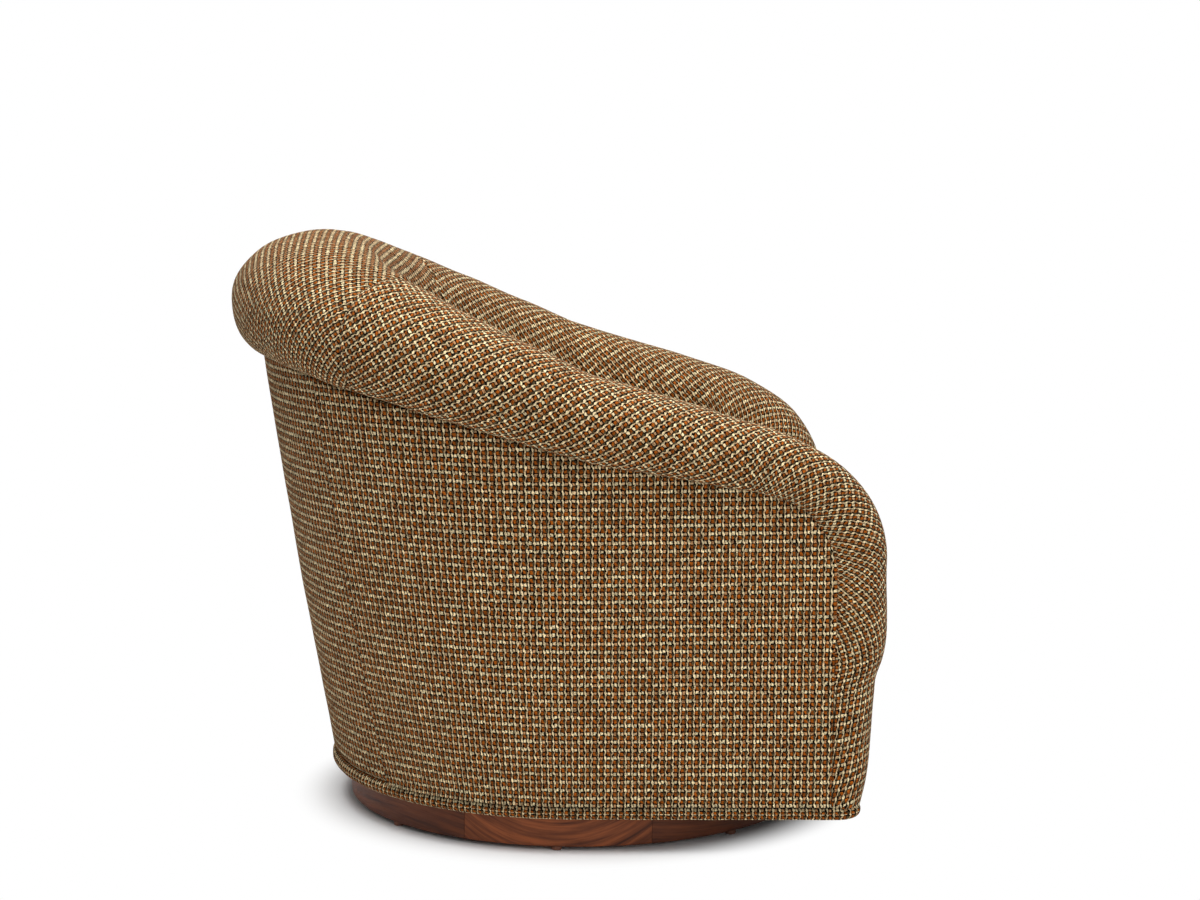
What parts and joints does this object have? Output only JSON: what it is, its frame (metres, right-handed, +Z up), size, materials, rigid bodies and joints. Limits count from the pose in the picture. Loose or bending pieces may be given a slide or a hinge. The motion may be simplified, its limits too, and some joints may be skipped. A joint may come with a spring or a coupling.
{
  "type": "swivel chair",
  "caption": "Upholstered tub chair with a rolled back sweeping down into rolled arms, a loose seat cushion, and a round wooden plinth on which the body turns.",
  "frame": {"origin": "on the floor under the middle of the chair's overall box; the swivel axis stands 44.5 mm in front of it", "axes": "+Z up, the front of the seat faces -Y, +X is the sitter's left"},
  "size_m": [0.7888, 0.8141, 0.7461],
  "materials": {
    "walnut": "oiled walnut with a low sheen",
    "plywood": "bare plywood",
    "hardwood": "bare sawn hardwood",
    "steel": "zinc plated steel",
    "spring_wire": "black enamelled wire",
    "glide_plastic": "brown nylon",
    "bush_plastic": "natural nylon",
    "tweed": "chunky tweed check of cream, rust and dark olive yarns",
    "deck_cloth": "plain cotton deck cloth",
    "dust_cloth": "black cambric",
    "zip_tape": "woven zip tape"
  },
  "bodies": {
    "base": {"plinth_segments": "walnut", "glides": "glide_plastic", "glide_nails": "steel", "base_panel": "plywood", "base_panel_screws": "steel", "swivel_lower_plate": "steel", "lower_plate_bolts": "steel", "lower_plate_nuts": "steel", "pivot_bolt": "steel", "pivot_washer": "steel", "pivot_nut": "steel"},
    "ball_ring": {"bearing_balls": "steel", "ball_cage": "steel"},
    "chair": {"swivel_upper_plate": "steel", "pivot_bush": "bush_plastic", "upper_plate_bolts": "steel", "upper_plate_nuts": "steel", "bottom_board": "plywood", "lower_posts": "hardwood", "post_screws": "steel", "seat_frame": "plywood", "top_rail": "plywood", "arm_rail_left": "plywood", "arm_rail_right": "plywood", "back_posts": "hardwood", "arm_posts": "hardwood", "front_posts": "hardwood", "seat_springs": "spring_wire", "spring_clips": "steel", "deck_pad": "deck_cloth", "back_roll": "tweed", "arm_roll_left": "tweed", "arm_roll_right": "tweed", "inside_back_pad": "tweed", "inside_arm_pad_left": "tweed", "inside_arm_pad_right": "tweed", "outside_back": "tweed", "outside_arm_left": "tweed", "outside_arm_right": "tweed", "front_apron": "tweed", "bottom_welt": "tweed", "dust_cover": "dust_cloth"},
    "cushion": {"seat_cushion": "tweed", "cushion_welts": "tweed", "cushion_zip": "zip_tape"}
  },
  "joints": [
    {"name": "seat_swivel", "type": "hinge", "parent": "base", "child": "chair", "pos_m": [0, -0.0445, 0.0405], "axis": [0, 0, 1], "continuous": true},
    {"name": "ball_ring_turn", "type": "hinge", "parent": "base", "child": "ball_ring", "pos_m": [0, -0.0445, 0.0405], "axis": [0, 0, 1], "continuous": true},
    {"name": "cushion_lift", "type": "slide", "parent": "chair", "child": "cushion", "axis": [0, 0, 1], "range_m": [0, 0.3]}
  ],
  "couplings": [
    {"joint": "ball_ring_turn", "follows": "seat_swivel", "ratio": 0.5}
  ]
}
